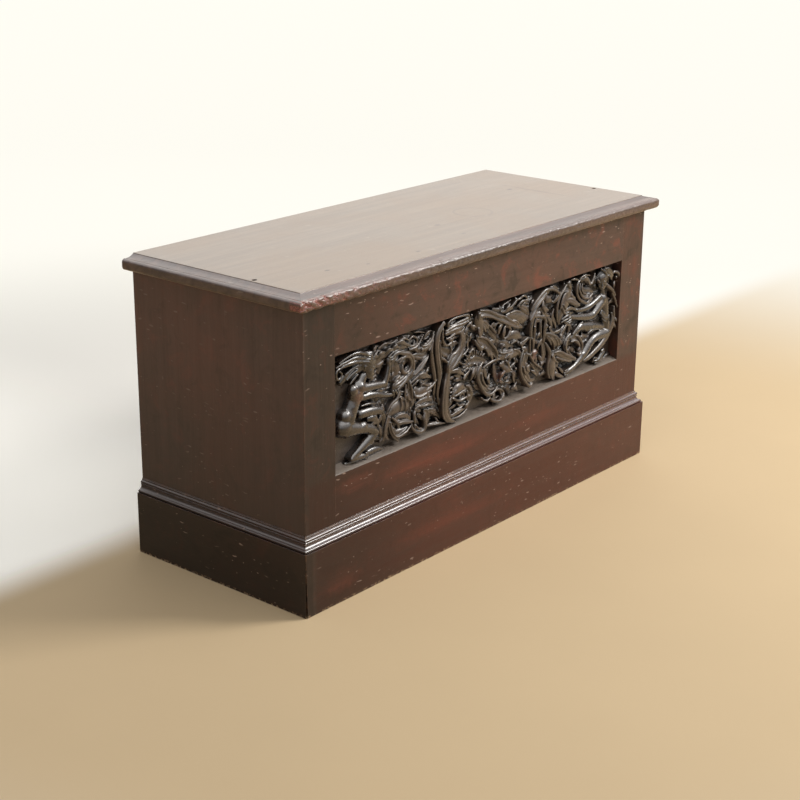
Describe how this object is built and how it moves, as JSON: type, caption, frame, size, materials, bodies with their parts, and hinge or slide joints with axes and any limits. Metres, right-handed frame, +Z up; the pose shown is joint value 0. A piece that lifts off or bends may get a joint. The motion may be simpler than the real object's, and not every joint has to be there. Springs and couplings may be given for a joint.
{
  "type": "chest",
  "caption": "Long low wooden chest with a hinged moulded lid, a framed front round a deep relief-carved panel of crouching figures and leafy scrolls, and a moulded plinth.",
  "frame": {"origin": "on the floor, centre of the overall box of the closed chest", "axes": "+X along the length to the right as seen from the front, -Y out of the carved front, +Y out of the back where the hinges are, +Z up"},
  "size_m": [1.27, 0.5182, 0.671],
  "materials": {
    "case_wood": "dark red-brown stained wood, worn satin polish",
    "carved_wood": "near-black brown stained carving, glossy high spots, dusty ground",
    "lid_wood": "dark red-brown stained wood, worn semi-gloss polish, ring stain and scratches",
    "plain_wood": "unpolished inner wood, darkened with age",
    "hinge_brass": "old dull brass",
    "fastener_steel": "aged plain steel"
  },
  "bodies": {
    "case": {"front_top_rail": "case_wood", "front_bottom_rail": "case_wood", "front_left_stile": "case_wood", "front_right_stile": "case_wood", "carved_panel": "carved_wood", "left_end_board": "case_wood", "right_end_board": "case_wood", "back_board_lower": "plain_wood", "back_board_middle": "plain_wood", "back_board_upper": "plain_wood", "floor_board_front": "plain_wood", "floor_board_middle": "plain_wood", "floor_board_back": "plain_wood", "floor_bearer_front": "plain_wood", "floor_bearer_back": "plain_wood", "floor_bearer_left": "plain_wood", "floor_bearer_right": "plain_wood", "glue_block_left": "plain_wood", "glue_block_right": "plain_wood", "foot_block_front_left": "plain_wood", "foot_block_front_right": "plain_wood", "foot_block_back_left": "plain_wood", "foot_block_back_right": "plain_wood", "plinth_front": "case_wood", "plinth_left": "case_wood", "plinth_right": "case_wood", "base_moulding_front": "case_wood", "base_moulding_left": "case_wood", "base_moulding_right": "case_wood", "hinge_left_case_leaf": "hinge_brass", "hinge_middle_case_leaf": "hinge_brass", "hinge_right_case_leaf": "hinge_brass", "hinge_left_pin": "hinge_brass", "hinge_middle_pin": "hinge_brass", "hinge_right_pin": "hinge_brass", "case_hinge_screws": "fastener_steel", "panel_screws": "fastener_steel", "bearer_screws": "fastener_steel", "plinth_screws": "fastener_steel", "back_nails": "fastener_steel", "floor_nails": "fastener_steel"},
    "lid": {"lid_board_front": "lid_wood", "lid_board_middle": "lid_wood", "lid_board_back": "lid_wood", "lid_batten_left": "plain_wood", "lid_batten_right": "plain_wood", "hinge_left_lid_leaf": "hinge_brass", "hinge_middle_lid_leaf": "hinge_brass", "hinge_right_lid_leaf": "hinge_brass", "lid_hinge_screws": "fastener_steel", "lid_batten_screws": "fastener_steel"}
  },
  "joints": [
    {"name": "lid_hinge", "type": "hinge", "parent": "case", "child": "lid", "pos_m": [0, 0.25415, 0.639], "axis": [-1, 0, 0], "range_deg": [0, 95]}
  ]
}
